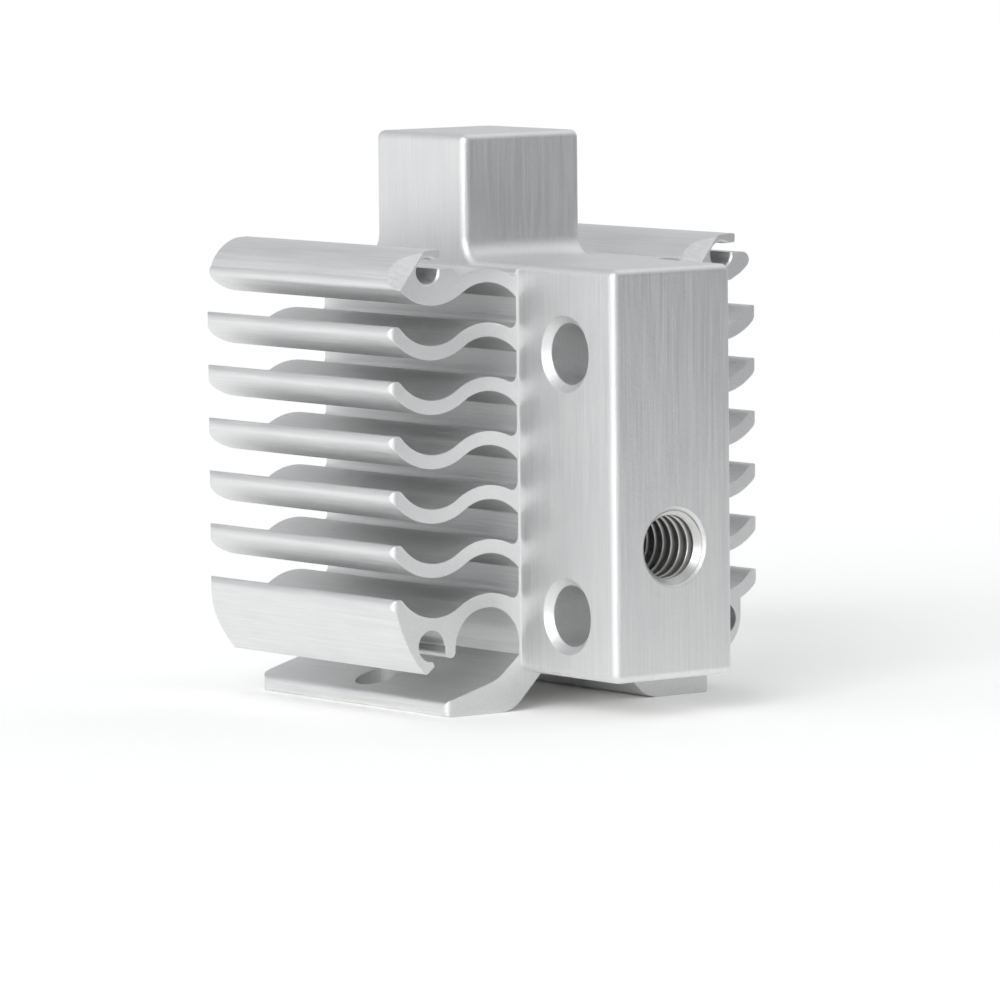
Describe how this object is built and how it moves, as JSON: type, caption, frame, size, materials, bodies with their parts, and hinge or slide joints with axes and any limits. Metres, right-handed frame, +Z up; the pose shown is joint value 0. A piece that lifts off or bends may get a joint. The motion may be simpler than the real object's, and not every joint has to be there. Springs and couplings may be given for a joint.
{
  "type": "hotend heat sink",
  "caption": "Aluminium hot-end heat sink: a central column with wavy fins on both sides, a drilled mounting block, a square boss, open screw ports for a fan and two flat feet.",
  "frame": {"origin": "middle of the body's footprint, on the plane that the two feet stand on", "axes": "+Z up along the column to the square boss; X across the fins; -Y towards the drilled mounting block, so that the fins are extruded along Y"},
  "size_m": [0.025, 0.0256, 0.0308],
  "materials": {
    "aluminium": "satin"
  },
  "bodies": {
    "root": {"heat_sink": "aluminium"}
  },
  "joints": []
}
